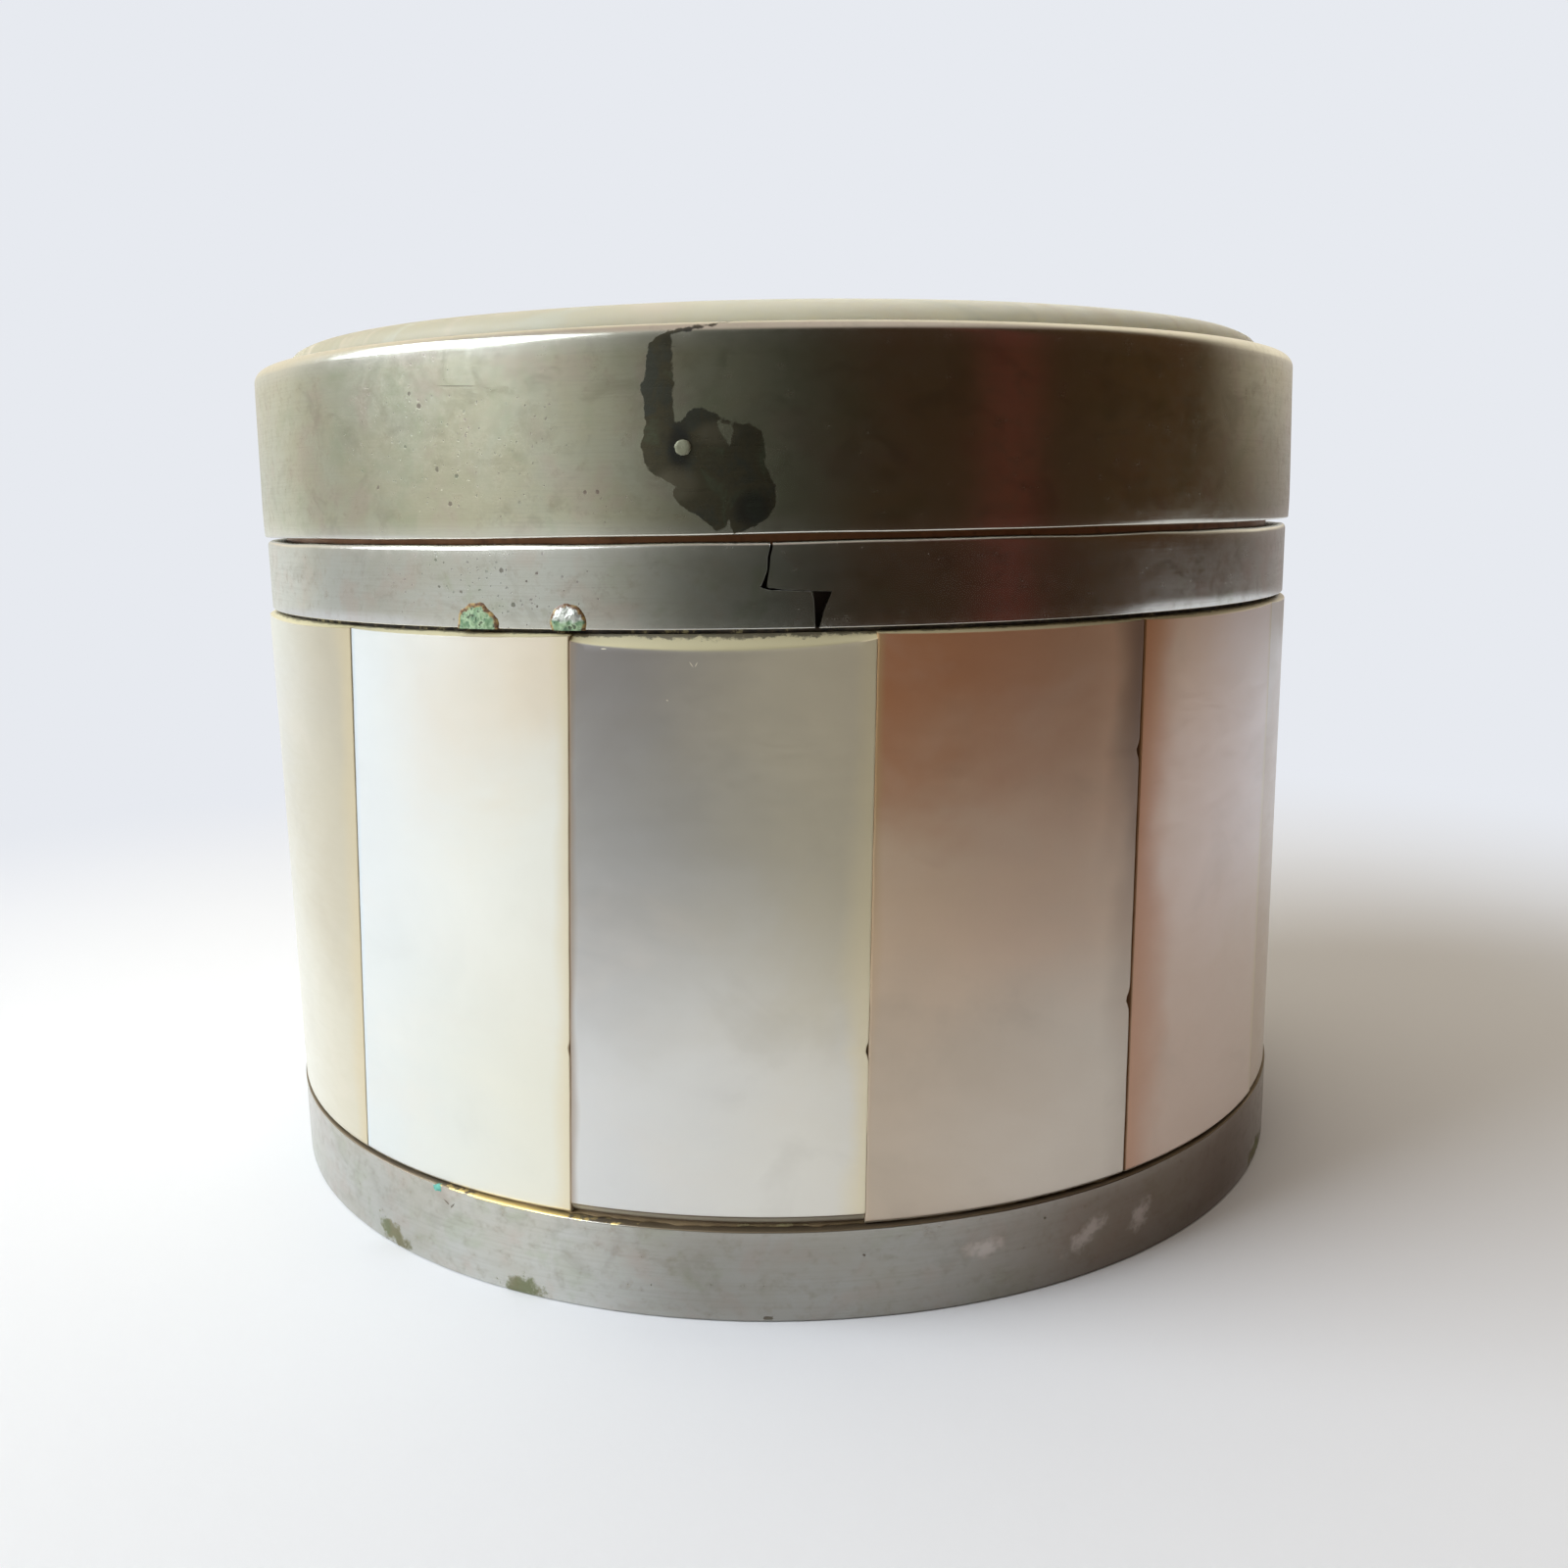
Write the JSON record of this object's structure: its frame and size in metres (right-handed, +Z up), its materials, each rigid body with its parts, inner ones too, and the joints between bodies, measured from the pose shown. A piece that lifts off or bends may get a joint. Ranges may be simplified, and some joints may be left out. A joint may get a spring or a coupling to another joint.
{
  "type": "pill box",
  "caption": "Small round lidded box of mother-of-pearl slats between metal bands, with a lift-off lid topped by a domed shell disc.",
  "frame": {"origin": "centre of the base, on the surface that the box stands on", "axes": "+Z up along the box's axis, -Y towards the front, where the joints of the collar and the lid band are"},
  "size_m": [0.0452, 0.0452, 0.0353],
  "materials": {
    "band_metal": "satin",
    "tube_metal": "satin",
    "pin_metal": "satin",
    "cement": "matte",
    "shell": "gloss"
  },
  "bodies": {
    "box": {"base_plate": "band_metal", "base_ring": "band_metal", "inner_tube": "tube_metal", "collar_band": "band_metal", "collar_pins": "pin_metal", "slat_cement": "cement", "shell_slat_01": "shell", "shell_slat_02": "shell", "shell_slat_03": "shell", "shell_slat_04": "shell", "shell_slat_05": "shell", "shell_slat_06": "shell", "shell_slat_07": "shell", "shell_slat_08": "shell", "shell_slat_09": "shell", "shell_slat_10": "shell", "shell_slat_11": "shell", "shell_slat_12": "shell", "shell_slat_13": "shell", "shell_slat_14": "shell"},
    "lid": {"lid_band": "band_metal", "lid_plate": "tube_metal", "lid_cement": "cement", "lid_shell": "shell", "lid_pin": "pin_metal"}
  },
  "joints": [
    {"name": "lid_lift", "type": "slide", "parent": "box", "child": "lid", "axis": [0, 0, 1], "range_m": [0, 0.03]}
  ]
}
